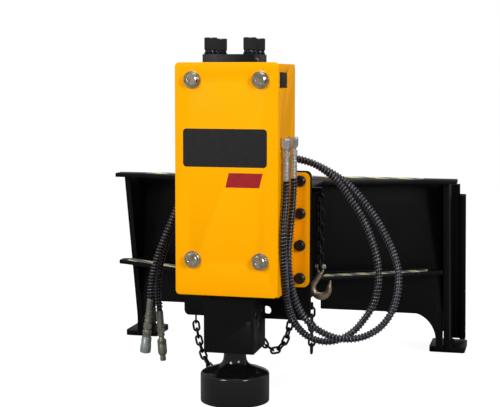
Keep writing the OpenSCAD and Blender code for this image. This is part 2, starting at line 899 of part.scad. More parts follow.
module grab_hook() {
    bend_r = 26;
    bar_r = 9.5;
    bend = [1.5, -68];
    start = 145;
    sweep = 225;
    tip_flare = 20;
    color("#a88a5c") translate([hook_x, hook_y, clevis_z]) difference() {
        union() {
            for (s = [-1, 1]) translate([s > 0 ? 5.2 : -12.2, 0, 0]) {
                x_cylinder(0, 7, 9.5);
                translate([0, -8, -20]) cube([7, 16, 20]);
            }
            translate([-12.2, -8, -34]) cube([24.4, 16, 17]);
            translate([0, 0, -30]) rotate([0, 180 + 46, 0]) cylinder(r = bar_r - 1, h = 30);
            translate([bend[0], 0, bend[1]]) {
                rotate([90, 0, 0]) rotate([0, 0, start]) rotate_extrude(angle = sweep)
                    translate([bend_r, 0]) circle(bar_r);
                rotate([0, -start, 0]) translate([bend_r, 0, 0]) sphere(bar_r + 0.4);
                rotate([0, -start - sweep, 0]) translate([bend_r, 0, 0])
                    rotate([0, start + sweep + tip_flare, 0]) {
                        sphere(bar_r + 0.4);
                        cylinder(r1 = bar_r - 0.6, r2 = 4.6, h = 25);
                        translate([0, 0, 25]) sphere(5.2);
                    }
            }
        }
        x_cylinder(-20, 40, 4.03);
    }
}

module clevis_pin() {
    color("#c8c9cb") translate([hook_x, hook_y, clevis_z]) {
        x_cylinder(-17, 34, 4);
        x_cylinder(-18, 5, 7);
        x_cylinder(13, 5, 7);
    }
}

// Hoses ----------------------------------------------------------------

module hose_supply() {
    color("#141416") tube(supply_route, hose_r);
}

module hose_return() {
    color("#141416") tube(return_route, hose_r);
}

module swivel_nuts() {
    color("#c3c6ca") for (y = port_y) translate([port_x, y, swivel_z[0]])
        cylinder(r = swivel_r, h = swivel_z[1] - swivel_z[0], $fn = 6);
}

// Places its children at a hose's free end, with Z along the fitting
module at_end(p, tilt) {
    translate(p) rotate([0, 180 + tilt, 0]) children();
}

module hose_ferrules() {
    color("#b9bcc0") for (y = port_y) translate([port_x, y, hose_end_z])
        cylinder(r = ferrule_r, h = swivel_z[0] - hose_end_z);
}

// Bore in a coupler's ferrule that takes the end of the hose
module grip_bore() {
    translate([0, 0, -cut]) cylinder(r = hose_r + 0.1, h = hose_grip + 0.1 + cut);
}

module coupler_socket() {
    color("#a9a99d") at_end(supply_end, supply_tilt) difference() {
        union() {
            cylinder(r = end_ferrule_r, h = end_ferrule);
            translate([0, 0, end_ferrule]) cylinder(r = 14.5, h = 22, $fn = 6);
            translate([0, 0, end_ferrule]) cylinder(r = 12, h = 86);
        }
        translate([0, 0, end_ferrule + 50]) cylinder(r = 9.5, h = 60);
        grip_bore();
    }
}

module coupler_plug() {
    color("#a9a99d") at_end(return_end, return_tilt) {
        difference() {
            cylinder(r = end_ferrule_r, h = 58);
            grip_bore();
        }
        translate([0, 0, 58]) cylinder(r = 13.5, h = 16, $fn = 6);
        translate([0, 0, 74]) cylinder(r = 10.5, h = 20);
        translate([0, 0, 94]) cylinder(r = 14.5, h = 48);
        translate([0, 0, 142]) cylinder(r = 9.3, h = 18);
    }
}

module coupler_sleeve() {
    color("#c0c2c4") at_end(supply_end, supply_tilt) translate([0, 0, end_ferrule + 34])
        difference() {
            cylinder(r = 17, h = 50);
            translate([0, 0, -cut]) cylinder(r = 12 + fit, h = 60);
        }
}

front_head();
lower_bushing();
upper_bushing();
retaining_pins();
pin_plugs();
cylinder_block();
seal_retainer();
piston_seals();
back_head();
charging_valve();
tie_rods();
tie_rod_nuts();
tie_rod_washers();
port_adapters();
port_elbows();
drive_cup();
tool_shank();
piston();
valve_spool();
front_plate();
side_plate_left();
side_plate_right();
rear_plate();
bracket_plate();
dampers();
case_bolts();
case_washers();
mount_plate();
bracket_bolts();
bracket_nuts();
hose_clamp();
tower_side_left();
tower_side_right();
deck();
steps();
web_left();
web_right();
leg_left();
leg_right();
feet();
loader_plate();
side_bars();
hook_lip();
lock_lips();
grip_tape();
chain_lugs();
hook_chain_upper();
hook_chain_lower();
grab_hook();
clevis_pin();
safety_chain_left();
safety_chain_right();
tail_chain();
hose_supply();
hose_return();
swivel_nuts();
hose_ferrules();
coupler_socket();
coupler_plug();
coupler_sleeve();
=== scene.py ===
"""Looks of the hydraulic post driver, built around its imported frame."""

import json
import math

import bmesh
import bpy
from mathutils import Matrix, Vector

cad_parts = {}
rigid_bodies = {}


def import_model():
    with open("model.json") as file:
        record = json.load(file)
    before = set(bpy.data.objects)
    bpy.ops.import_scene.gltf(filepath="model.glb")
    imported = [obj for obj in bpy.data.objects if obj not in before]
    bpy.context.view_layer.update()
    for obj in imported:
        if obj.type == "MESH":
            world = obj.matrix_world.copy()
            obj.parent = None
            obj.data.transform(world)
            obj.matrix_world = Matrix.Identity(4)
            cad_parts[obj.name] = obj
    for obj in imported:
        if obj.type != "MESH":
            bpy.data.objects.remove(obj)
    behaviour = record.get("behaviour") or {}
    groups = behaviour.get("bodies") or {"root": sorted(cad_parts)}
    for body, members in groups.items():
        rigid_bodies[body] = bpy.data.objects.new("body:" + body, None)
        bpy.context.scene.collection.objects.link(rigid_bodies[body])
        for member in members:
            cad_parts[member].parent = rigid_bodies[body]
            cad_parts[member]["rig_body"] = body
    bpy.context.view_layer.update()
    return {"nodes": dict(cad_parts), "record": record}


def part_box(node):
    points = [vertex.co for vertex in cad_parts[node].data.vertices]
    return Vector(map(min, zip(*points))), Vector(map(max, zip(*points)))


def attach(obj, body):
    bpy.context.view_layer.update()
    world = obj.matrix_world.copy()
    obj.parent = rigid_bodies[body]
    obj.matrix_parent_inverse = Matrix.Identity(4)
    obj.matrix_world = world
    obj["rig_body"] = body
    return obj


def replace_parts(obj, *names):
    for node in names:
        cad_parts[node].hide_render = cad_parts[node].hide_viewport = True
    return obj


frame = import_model()
nodes = frame["nodes"]
MM = 0.001
TAU = 2 * math.pi


# ---------------------------------------------------------------- camera

CAMERA_AT = (0.883, -3.402, 0.950)
CAMERA_TILT = (84.03, -0.09, 13.85)
CAMERA_LENS, CAMERA_SENSOR = 87.6, 36


def add_camera():
    data = bpy.data.cameras.new("camera")
    data.lens = CAMERA_LENS
    data.sensor_width = CAMERA_SENSOR
    data.clip_end = 90
    camera = bpy.data.objects.new("camera", data)
    camera.location = CAMERA_AT
    camera.rotation_euler = [math.radians(angle) for angle in CAMERA_TILT]
    bpy.context.scene.collection.objects.link(camera)
    bpy.context.scene.camera = camera


add_camera()


# ---------------------------------------------------------------- materials

class Paint:
    """A material under construction, with short calls for its nodes."""

    def __init__(self, name, **inputs):
        self.material = bpy.data.materials.new(name)
        self.material.use_nodes = True
        self.tree = self.material.node_tree
        self.shader = self.tree.nodes["Principled BSDF"]
        for socket, value in inputs.items():
            self.shader.inputs[socket.replace("_", " ")].default_value = value
        self.place = self.tree.nodes.new("ShaderNodeTexCoord").outputs["Object"]

    def node(self, kind, inputs=(), **settings):
        n = self.tree.nodes.new(kind)
        for key, value in settings.items():
            setattr(n, key, value)
        for key, value in dict(inputs).items():
            if isinstance(value, bpy.types.NodeSocket):
                self.tree.links.new(value, n.inputs[key])
            else:
                n.inputs[key].default_value = value
        return n

    def stretched(self, scale):
        """Texture coordinates stretched by scale along X, Y and Z."""
        n = self.node("ShaderNodeMapping", {"Vector": self.place, "Scale": scale})
        return n.outputs["Vector"]

    def noise(self, scale, detail=3.0, rough=0.5, vector=None):
        n = self.node("ShaderNodeTexNoise", {
            "Vector": vector or self.place, "Scale": scale, "Detail": detail, "Roughness": rough})
        return n.outputs["Fac"]

    def remap(self, value, low, high, start=0.3, end=0.7):
        n = self.node("ShaderNodeMapRange", {
            0: value, 1: start, 2: end, 3: low, 4: high})
        return n.outputs[0]

    def ramp(self, value, *stops):
        n = self.node("ShaderNodeValToRGB", {"Fac": value})
        elements = n.color_ramp.elements
        while len(elements) < len(stops):
            elements.new(0.5)
        for element, (at, color) in zip(elements, stops):
            element.position = at
            element.color = (*color, 1)
        return n.outputs["Color"]

    def mix(self, share, a, b):
        n = self.node("ShaderNodeMix", {0: share, 6: a, 7: b}, data_type="RGBA")
        return n.outputs[2]

    def link(self, value, socket):
        self.tree.links.new(value, self.shader.inputs[socket])

    def bump(self, *layers):
        """Layers are (height, strength, distance in metres)."""
        normal = None
        for height, strength, distance in layers:
            inputs = {"Height": height, "Strength": strength, "Distance": distance}
            if normal:
                inputs["Normal"] = normal
            normal = self.node("ShaderNodeBump", inputs).outputs["Normal"]
        self.link(normal, "Normal")


def yellow_paint():
    """Powder coat: faint clouds and a fine orange peel."""
    p = Paint("yellow_paint", Specular_IOR_Level=0.03)
    p.link(p.ramp(p.noise(3.5, 2), (0.3, (0.95, 0.375, 0.0)), (0.7, (0.95, 0.40, 0.0))),
           "Base Color")
    p.link(p.remap(p.noise(14, 4), 0.42, 0.54), "Roughness")
    p.bump((p.noise(420, 2), 0.10, 0.0006), (p.noise(40, 2), 0.05, 0.0006))
    return p.material


def black_paint(name="black_paint", rough=(0.34, 0.5), low=0.0022, high=0.0036, shine=0.12):
    """Black powder coat with a little paler dust in random patches."""
    p = Paint(name, Specular_IOR_Level=shine)
    tint = (1.0, 1.02, 1.14)
    shades = [tuple(shade * t for t in tint) for shade in (low, high)]
    coat = p.ramp(p.noise(5, 4), (0.3, shades[0]), (0.7, shades[1]))
    dust = p.remap(p.noise(26, 6, 0.7), 0.0, 0.35, 0.62, 0.85)
    p.link(p.mix(dust, coat, (0.010, 0.0095, 0.009, 1)), "Base Color")
    p.link(p.remap(p.noise(9, 5, 0.6), *rough), "Roughness")
    p.bump((p.noise(620, 2), 0.16, 0.0005), (p.noise(60, 2), 0.06, 0.0008))
    return p.material


def metal(name, dark, light, rough, grain=(240, 240, 240), strength=0.08, metallic=1.0):
    """Metal that wavers between two shades, its grain stretched by grain."""
    p = Paint(name, Metallic=metallic)
    p.link(p.ramp(p.noise(30, 4, 0.6), (0.3, dark), (0.7, light)), "Base Color")
    p.link(p.remap(p.noise(55, 4), *rough), "Roughness")
    p.bump((p.noise(1, 3, 0.6, p.stretched(grain)), strength, 0.0005))
    return p.material


def yellow_zinc():
    """Passivated zinc, whose film turns from straw to grey."""
    p = Paint("yellow_zinc", Metallic=1.0)
    p.link(p.ramp(p.noise(50, 3, 0.6), (0.25, (0.24, 0.18, 0.12)), (0.5, (0.50, 0.44, 0.33)),
                  (0.75, (0.68, 0.64, 0.55))), "Base Color")
    p.link(p.remap(p.noise(60, 3), 0.16, 0.28), "Roughness")
    p.bump((p.noise(300, 2), 0.05, 0.0004))
    return p.material


def rubber(name, shade, rough):
    """Matt rubber with a fine texture."""
    p = Paint(name, Specular_IOR_Level=0.3)
    dark, light = (tuple(shade * k for _ in range(3)) for k in (0.8, 1.3))
    p.link(p.ramp(p.noise(40, 4), (0.3, dark), (0.7, light)), "Base Color")
    p.link(p.remap(p.noise(70, 4), *rough), "Roughness")
    p.bump((p.noise(700, 3), 0.15, 0.0005))
    return p.material


def guard_wire():
    """Black oxide spring wire, bright along its crests."""
    p = Paint("guard_wire", Metallic=0.6, Specular_IOR_Level=0.8)
    p.link(p.ramp(p.noise(60, 3), (0.3, (0.055, 0.055, 0.075)), (0.7, (0.14, 0.14, 0.18))),
           "Base Color")
    p.link(p.remap(p.noise(90, 3), 0.12, 0.24), "Roughness")
    return p.material


def hook_bronze():
    """Forged hook in a worn bronze wash."""
    p = Paint("hook_bronze", Metallic=0.9)
    p.link(p.ramp(p.noise(45, 4), (0.3, (0.22, 0.16, 0.11)), (0.55, (0.42, 0.33, 0.24)),
                  (0.8, (0.56, 0.46, 0.36))), "Base Color")
    p.link(p.remap(p.noise(80, 4), 0.34, 0.52), "Roughness")
    p.bump((p.noise(260, 3), 0.3, 0.0008))
    return p.material


def hazard_tape():
    """Gritty tape with wide slanted stripes, worn to the grit in places."""
    p = Paint("hazard_tape", Specular_IOR_Level=0.2)
    stripes = p.node("ShaderNodeTexWave", {
        "Vector": p.place, "Scale": 7.4, "Distortion": 0.0, "Detail": 0.0},
        wave_type="BANDS", bands_direction="DIAGONAL", wave_profile="SIN")
    worn = p.noise(260, 3, 0.7)
    pale = p.ramp(worn, (0.3, (0.58, 0.54, 0.26)), (0.7, (0.84, 0.80, 0.50)))
    dark = p.ramp(worn, (0.3, (0.12, 0.12, 0.13)), (0.7, (0.30, 0.29, 0.31)))
    edge = p.remap(stripes.outputs["Fac"], 0.0, 1.0, 0.47, 0.53)
    p.link(p.mix(edge, dark, pale), "Base Color")
    p.shader.inputs["Roughness"].default_value = 0.85
    p.bump((p.noise(1400, 2), 0.5, 0.0006))
    return p.material


def flat_print(name, color):
    """Printed film in one even colour."""
    p = Paint(name, Specular_IOR_Level=0.25)
    low, high = tuple(c * 0.9 for c in color), tuple(min(1, c * 1.1) for c in color)
    p.link(p.ramp(p.noise(60, 3), (0.3, low), (0.7, high)), "Base Color")
    p.link(p.remap(p.noise(90, 3), 0.36, 0.46), "Roughness")
    return p.material


MATERIALS = {
    "yellow_paint": yellow_paint(),
    "black_paint": black_paint(),
    "black_fastener": black_paint("black_fastener", (0.25, 0.4), 0.0035, 0.006, 0.35),
    "nut_paint": black_paint("nut_paint", (0.12, 0.22), 0.0035, 0.006, 0.6),
    "cup_paint": black_paint("cup_paint", (0.12, 0.2), 0.0030, 0.0042, 0.45),
    "machined_steel": metal("machined_steel", (0.42, 0.43, 0.45), (0.55, 0.56, 0.58),
                            (0.22, 0.36), (40, 40, 900)),
    "bushing_bronze": metal("bushing_bronze", (0.34, 0.24, 0.11), (0.50, 0.37, 0.18), (0.3, 0.45)),
    "bright_zinc": metal("bright_zinc", (0.40, 0.43, 0.50), (0.60, 0.64, 0.70), (0.22, 0.34),
                         strength=0.03, metallic=0.8),
    "coupler_steel": metal("coupler_steel", (0.16, 0.16, 0.125), (0.34, 0.34, 0.28), (0.26, 0.42),
                           metallic=0.7),
    "sleeve_steel": metal("sleeve_steel", (0.26, 0.29, 0.29), (0.36, 0.40, 0.40), (0.36, 0.5),
                          metallic=0.55),
    "yellow_zinc": yellow_zinc(),
    "chain_steel": metal("chain_steel", (0.012, 0.012, 0.014), (0.04, 0.04, 0.045), (0.3, 0.5)),
    "hook_bronze": hook_bronze(),
    "damper_rubber": rubber("damper_rubber", 0.005, (0.55, 0.75)),
    "seal_rubber": rubber("seal_rubber", 0.016, (0.4, 0.5)),
    "hose_rubber": rubber("hose_rubber", 0.002, (0.3, 0.42)),
    "guard_wire": guard_wire(),
    "hazard_tape": hazard_tape(),
    "print_black": flat_print("print_black", (0.010, 0.010, 0.011)),
    "print_red": flat_print("print_red", (0.30, 0.010, 0.012)),
}

SLOTS = {s["node"]: s["material_slot"] for s in frame["record"]["subparts"]}


def dress_cad_nodes():
    """The record's material on every CAD node, with its sharp edges kept."""
    for name, node in nodes.items():
        node.data.materials.clear()
        node.data.materials.append(MATERIALS[SLOTS[name]])
        node.data.shade_smooth()
        node.data.set_sharp_from_angle(angle=math.radians(30))


dress_cad_nodes()


# ---------------------------------------------------------------- mesh helpers

def piece(name, solid, material, body="frame", smooth=40):
    """An object from a solid, a pair of vertices and faces. smooth is in degrees."""
    verts, faces = solid
    mesh = bpy.data.meshes.new(name)
    mesh.from_pydata([tuple(v) for v in verts], [], faces)
    obj = bpy.data.objects.new(name, mesh)
    bpy.context.scene.collection.objects.link(obj)
    return finished(obj, material, body, smooth)


def finished(obj, material, body="frame", smooth=40):
    """Outward normals, shading, material and body of a new piece."""
    bm = bmesh.new()
    bm.from_mesh(obj.data)
    bmesh.ops.recalc_face_normals(bm, faces=bm.faces)
    bm.to_mesh(obj.data)
    bm.free()
    obj.data.shade_smooth()
    obj.data.set_sharp_from_angle(angle=math.radians(smooth))
    obj.data.materials.clear()
    obj.data.materials.append(MATERIALS[material])
    if "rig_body" not in obj:
        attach(obj, body)
    return obj


def modifier(obj, kind, **settings):
    m = obj.modifiers.new(kind.lower(), kind)
    for key, value in settings.items():
        setattr(m, key, value)


def apply_modifiers(obj):
    """Bakes the piece's modifiers into its mesh."""
    bpy.context.view_layer.update()
    evaluated = obj.evaluated_get(bpy.context.evaluated_depsgraph_get())
    mesh = bpy.data.meshes.new_from_object(evaluated)
    obj.modifiers.clear()
    obj.data = mesh


def bevel(obj, width, segments=2, angle=35):
    """Rounds the edges that turn by more than angle, in degrees."""
    modifier(obj, "BEVEL", width=width, segments=segments, limit_method="ANGLE",
             angle_limit=math.radians(angle), miter_outer="MITER_ARC", use_clamp_overlap=True)
    apply_modifiers(obj)


def round_edges(node, width):
    """Puts a copy of a CAD node with rounded edges in place of the node."""
    source = nodes[node]
    obj = bpy.data.objects.new(node + "_edged", source.data.copy())
    bpy.context.scene.collection.objects.link(obj)
    bm = bmesh.new()
    bm.from_mesh(obj.data)
    bmesh.ops.remove_doubles(bm, verts=bm.verts, dist=1e-6)
    bmesh.ops.dissolve_limit(bm, angle_limit=math.radians(2), verts=bm.verts, edges=bm.edges)
    bm.to_mesh(obj.data)
    bm.free()
    bevel(obj, width)
    finished(obj, SLOTS[node], source["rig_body"], 30)
    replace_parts(obj, node)


def ring_faces(rings, steps, caps=True):
    """Faces of a tube whose vertices lie in rings of steps vertices each."""
    faces = []
    for i in range(rings - 1):
        for k in range(steps):
            a, b = i * steps + k, i * steps + (k + 1) % steps
            faces.append((a, b, b + steps, a + steps))
    if caps:
        faces.append(tuple(range(steps - 1, -1, -1)))
        faces.append(tuple((rings - 1) * steps + k for k in range(steps)))
    return faces


def lathe(profile, steps=64):
    """A solid from (radius, height) pairs in millimetres, turned about Z."""
    verts = [Vector((r * math.cos(TAU * k / steps), r * math.sin(TAU * k / steps), z)) * MM
             for r, z in profile for k in range(steps)]
    return verts, ring_faces(len(profile), steps)


def ring_lathe(profile, steps=64):
    """A hollow solid whose (radius, height) profile closes on itself."""
    verts, faces = lathe(profile, steps)
    faces = faces[:-2]
    last = (len(profile) - 1) * steps
    for k in range(steps):
        faces.append((last + k, last + (k + 1) % steps, (k + 1) % steps, k))
    return verts, faces


def hex_prism(across, low, high, chamfer=0.03, both=False, steps=72):
    """A hexagon along Z, in millimetres, whose top corners are turned off."""
    inner = across / 2 * (1 - chamfer)

    def wall(k):
        """Distance from the axis to the flat at step k."""
        angle = (TAU * k / steps + TAU / 12) % (TAU / 6) - TAU / 12
        return across / 2 / math.cos(angle)

    def drop(k):
        """How far the turned corner reaches down the flat at step k."""
        return (wall(k) - inner) * math.tan(math.radians(30))

    rows = [
        lambda k: (inner, low) if both else (wall(k), low),
        lambda k: (wall(k), low + (drop(k) if both else 0.0)),
        lambda k: (wall(k), high - drop(k)),
        lambda k: (inner, high),
    ]
    verts = []
    for row in rows:
        for k in range(steps):
            r, z = row(k)
            verts.append(Vector((r * math.cos(TAU * k / steps),
                                 r * math.sin(TAU * k / steps), z)) * MM)
    return verts, ring_faces(len(rows), steps)


def join(*solids):
    """One list of vertices and faces from several."""
    verts, faces = [], []
    for v, f in solids:
        start = len(verts)
        verts += v
        faces += [tuple(i + start for i in face) for face in f]
    return verts, faces


def moved(solid, matrix):
    verts, faces = solid
    return [matrix @ v for v in verts], faces


def facing(direction, at=(0, 0, 0), turn=0.0):
    """Matrix that takes +Z to direction and the origin to at, in metres."""
    rotation = Vector((0, 0, 1)).rotation_difference(Vector(direction)).to_matrix().to_4x4()
    return Matrix.Translation(at) @ rotation @ Matrix.Rotation(turn, 4, "Z")


def extruded(outline, low, high):
    """A prism along Y, in millimetres, from an outline of (x, z) points."""
    verts = [Vector((x, y, z)) * MM for y in (low, high) for x, z in outline]
    return verts, ring_faces(2, len(outline))


def arc(x, z, r, start, end, count=8):
    """Points on an arc, its angles in degrees."""
    angles = [math.radians(start + (end - start) * k / count) for k in range(count + 1)]
    return [(x + r * math.cos(a), z + r * math.sin(a)) for a in angles]


def sweep(path, radius, steps=20):
    """A closed tube along path. radius(i, angle) is its radius there."""
    verts = []
    side = Vector((0, 1, 0))
    last = len(path) - 1
    for i, p in enumerate(path):
        along = (path[min(i + 1, last)] - path[max(i - 1, 0)]).normalized()
        if abs(along.dot(side)) > 0.95:
            side = along.orthogonal()
        side = (side - along * side.dot(along)).normalized()
        other = along.cross(side)
        for k in range(steps):
            angle = TAU * k / steps
            verts.append(p + radius(i, angle) * (math.cos(angle) * side + math.sin(angle) * other))
    return verts, ring_faces(last + 1, steps)


# ---------------------------------------------------------------- hoses

# Centrelines in millimetres, from the port to the coupler.
SUPPLY_ROUTE = [
    (164, -60, 655), (164, -60, 628), (164, -66, 590), (163, -78, 540), (162, -85, 490),
    (162, -77, 435), (161, -58, 384), (161, -31, 318), (171, 2, 252), (196, 27, 207),
    (228, 40, 185), (266, 49, 178), (305, 56, 187), (342, 63, 211), (371, 70, 246),
    (394, 76, 284), (406, 82, 328), (409, 90, 372), (402, 98, 422), (384, 106, 478),
    (356, 114, 537), (320, 122, 591), (280, 131, 640), (235, 141, 675), (190, 148, 697),
    (130, 152, 710), (60, 152, 714), (0, 152, 714), (-60, 154, 714), (-115, 160, 710),
    (-155, 166, 698), (-182, 168, 675), (-198, 168, 642), (-210, 166, 597),
    (-226, 160, 544), (-248, 154, 490), (-272, 151, 432), (-291.5, 150, 378),
    (-304.69, 150, 322), (-311, 150, 262), (-313.72, 150, 236.14),
]
RETURN_ROUTE = [
    (164, 45, 655), (164, 45, 628), (164, 38, 590), (164, 20, 545), (164, -4, 495),
    (164, -21, 444), (166, -25, 395), (173, -20, 346), (191, -16, 291), (222, -16, 247),
    (267, -16, 217), (320, -12, 202), (375, 5, 206), (422, 26, 231), (452, 46, 271),
    (466, 62, 320), (468, 80, 373), (456, 96, 424), (429, 112, 479), (393, 128, 536),
    (349, 142, 590), (308, 155, 630), (262, 166, 660), (205, 176, 687), (140, 181, 703),
    (60, 183, 708), (0, 183, 708), (-60, 184, 708), (-112, 188, 703), (-149, 191, 690),
    (-176, 191, 664), (-196, 191, 625), (-217, 190, 572), (-241, 187, 510),
    (-263, 185, 450), (-280, 184, 395), (-291.5, 183, 345), (-296.5, 183, 285),
    (-292, 183, 219), (-290.19, 183, 193.06),
]
# The couplers start where the guards end, and the hoses run on into their ferrules.
SUPPLY_END, SUPPLY_TILT = (-311, 150, 262), 6
RETURN_END, RETURN_TILT = (-292, 183, 219), -4
PORT_X = 164
PORT_Y = (-60, 45)
CORE_R = 8.4 * MM
WIRE_R = 1.9 * MM
COIL_R = 9.8 * MM
COIL_PITCH = 10 * MM
GRIP = 26 * MM  # length of hose inside a coupler's ferrule
CORE_STEP = 4 * MM
COIL_STEPS = 16  # per turn of the wire
COIL_INSET = 6  # steps without wire at either end
CURVE_STEPS = 24  # between two points of a route


def smooth_path(points, step):
    """Points a step apart on a smooth curve through the given ones."""
    points = [Vector(p) for p in points]
    padded = [2 * points[0] - points[1]] + points + [2 * points[-1] - points[-2]]
    dense = []
    for a, b, c, d in zip(padded, padded[1:], padded[2:], padded[3:]):
        for k in range(CURVE_STEPS):
            t = k / CURVE_STEPS
            dense.append(0.5 * (2 * b + (c - a) * t + (2 * a - 5 * b + 4 * c - d) * t * t
                                + (3 * b - 3 * c + d - a) * t ** 3))
    dense.append(points[-1])
    spans = [(q - p).length for p, q in zip(dense, dense[1:])]
    total = sum(spans)
    count = round(total / step)
    path, i, passed = [dense[0]], 0, 0.0
    for k in range(1, count):
        target = total * k / count
        while passed + spans[i] < target:
            passed += spans[i]
            i += 1
        path.append(dense[i].lerp(dense[i + 1], (target - passed) / spans[i]))
    return path + [dense[-1]], total


def coil_round(path, step):
    """The spring guard's wire: a helix round the hose, closed at both ends."""
    verts = []
    side = Vector((0, 1, 0))
    last = len(path) - 1
    per_ring = TAU * step / COIL_PITCH
    around = 6
    for i, p in enumerate(path):
        along = (path[min(i + 1, last)] - path[max(i - 1, 0)]).normalized()
        side = (side - along * side.dot(along)).normalized()
        other = along.cross(side)
        out = math.cos(per_ring * i) * side + math.sin(per_ring * i) * other
        for k in range(around):
            angle = TAU * k / around
            verts.append(p + COIL_R * out
                         + WIRE_R * (math.cos(angle) * out + math.sin(angle) * along))
    return verts, ring_faces(last + 1, around)


def add_hose(name, route, with_pieces):
    """A hose inside its wire spring guard, as one mesh of two materials."""
    route = [Vector(p) * MM for p in route]
    path, length = smooth_path(route, CORE_STEP)
    step = COIL_PITCH / COIL_STEPS
    fine, _ = smooth_path(route, step)
    core = sweep(path, lambda _ring, _angle: CORE_R, 16)
    coil = coil_round(fine[COIL_INSET:-round(GRIP / step) - COIL_INSET], step)
    hose = piece(name + "_guarded", join(core, coil), "hose_rubber", smooth=70)
    hose.data.materials.append(MATERIALS["guard_wire"])
    for face in hose.data.polygons[len(core[1]):]:
        face.material_index = 1
    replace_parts(hose, name)


def turned(*parts):
    """A fitting turned from several profiles and hexagons."""
    return join(*[lathe(part, 48) if isinstance(part, list) else part for part in parts])


def hose_end(point, tilt):
    """Places a fitting at a hose's free end, with +Z along the fitting."""
    return Matrix.Translation(Vector(point) * MM) @ Matrix.Rotation(
        math.radians(180 + tilt), 4, "Y")


def grooved(r, low, high, count, depth=0.7, width=1.6):
    """Profile of a crimped ferrule between two heights."""
    rows = [(r - 1.6, low), (r, low + 1.6)]
    pitch = (high - low) / (count + 1)
    for k in range(1, count + 1):
        z = low + k * pitch
        rows += [(r, z - width), (r - depth, z - width / 2), (r - depth, z + width / 2),
                 (r, z + width)]
    return rows + [(r, high - 1.2), (r - 1.2, high)]


def add_coupler_socket():
    """The supply hose's quick coupler, with its sliding sleeve."""
    at = hose_end(SUPPLY_END, SUPPLY_TILT)
    body = turned(
        grooved(9.6, 0.3, 54, 4),
        [(8, 53), (11.8, 55), (11.8, 60), (9.4, 62), (9.4, 66), (11.2, 68), (11.2, 73),
         (9.2, 75), (9.2, 100)],
        hex_prism(23, 78, 96, 0.05, both=True),
        [(9, 99), (13, 100.5), (14, 103), (14, 112), (13, 114), (11.9, 115), (11.9, 172),
         (11.0, 173.6), (9.5, 173.6), (9.5, 139), (0.2, 139)],
    )
    socket = piece("coupler_socket_body", moved(body, at), "coupler_steel", smooth=30)
    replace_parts(socket, "coupler_socket")
    pitch = 2.2
    knurl = []
    for k in range(7):
        z = 128 + pitch * k
        knurl += [(15.8, z), (15.3, z + pitch / 2)]
    shell = ring_lathe([(12.3, 122.4), (14.6, 122.4), (15.4, 124), (15.6, 126)] + knurl
                       + [(15.8, 146), (16.4, 149), (16.9, 151), (16.9, 169.5), (16, 171.6),
                          (12.3, 171.6)])
    sleeve = piece("coupler_sleeve_shell", moved(shell, at), "sleeve_steel", "coupler_sleeve", 30)
    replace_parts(sleeve, "coupler_sleeve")
    return [socket, sleeve]


def add_coupler_plug():
    """The return hose's quick coupler."""
    at = hose_end(RETURN_END, RETURN_TILT)
    body = turned(
        [(8.2, 0.3), (10.6, 0.6), (10.6, 4), (8.4, 4.4)],
        grooved(11.2, 4.2, 44, 3),
        [(9, 43), (10.8, 45), (10.8, 52), (9.6, 54), (9.6, 60)],
        hex_prism(22, 56, 70, 0.05, both=True),
        [(9.4, 69), (9.4, 73), (11.2, 75), (11.2, 79), (8.6, 82), (8.2, 86), (9.6, 89), (9.6, 92)],
        [(9.6, 91.6), (13.2, 92), (14.4, 94), (14.4, 104), (13.9, 105), (13.9, 107), (14.4, 108),
         (14.4, 132), (13.2, 137), (10.4, 141.6),
         (8.4, 142.6), (8.4, 147), (9.3, 148.4), (9.3, 156), (8.2, 159.8), (3, 159.8), (3, 152),
         (0.2, 152)],
    )
    plug = piece("coupler_plug_body", moved(body, at), "coupler_steel", smooth=30)
    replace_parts(plug, "coupler_plug")
    return [plug]


add_hose("hose_supply", SUPPLY_ROUTE, add_coupler_socket())
add_hose("hose_return", RETURN_ROUTE, add_coupler_plug())


def add_port_fittings():
    """Forged elbows, swivel nuts and crimped ferrules of both ports."""
    half_width = 11
    elbow = ([(150.4, 754), (150.4, 776)] + arc(170.5, 771, 5, 90, 0)
             + [(175.5, 752), (173, 745.5), (155, 745.5), (152.5, 751)])
    nut = turned(hex_prism(21.6, 724, 738, 0.06, both=True),
                 [(9.2, 724.4), (9.2, 719), (8.2, 717.6), (8.2, 716.4), (9.4, 715.6),
                  (9.4, 714.2)])
    ferrule = turned(grooved(10, 655, 709, 4), [(8, 708), (8.6, 710), (8.6, 714)])
    stub = turned([(8.6, 749), (8.4, 744), (6.8, 741.5), (6.8, 737.6)])
    nuts, ferrules, stubs = [], [], []
    for n, y in enumerate(PORT_Y):
        body = piece(f"port_elbow_{n + 1}", extruded(elbow, y - half_width, y + half_width),
                     "bright_zinc", smooth=60)
        bevel(body, 2.6 * MM, 3, 50)
        finished(body, "bright_zinc", smooth=60)
        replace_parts(body, "port_elbows")
        at = Matrix.Translation(Vector((PORT_X, y, 0)) * MM) @ Matrix.Rotation(0.2 + n, 4, "Z")
        nuts.append(moved(nut, at))
        ferrules.append(moved(ferrule, at))
        stubs.append(moved(stub, at))
    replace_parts(piece("swivel_nut_pair", join(*nuts), "bright_zinc", smooth=30), "swivel_nuts")
    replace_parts(piece("crimped_ferrules", join(*ferrules), "bright_zinc", smooth=30),
                "hose_ferrules")
    piece("elbow_stubs", join(*stubs), "bright_zinc", smooth=30)


add_port_fittings()


# ---------------------------------------------------------------- plates

CASE_PLATES = ("front_plate", "side_plate_left", "side_plate_right", "rear_plate",
               "bracket_plate")
BLACK_PARTS = ("mount_plate", "deck", "steps", "web_left", "web_right", "leg_left", "leg_right",
               "feet", "loader_plate", "side_bars", "hook_lip", "tower_side_left",
               "tower_side_right", "front_head", "back_head", "hose_clamp")
for plate in CASE_PLATES:
    round_edges(plate, 1.2 * MM)
for plate in BLACK_PARTS:
    round_edges(plate, 1.5 * MM)
round_edges("dampers", 2 * MM)


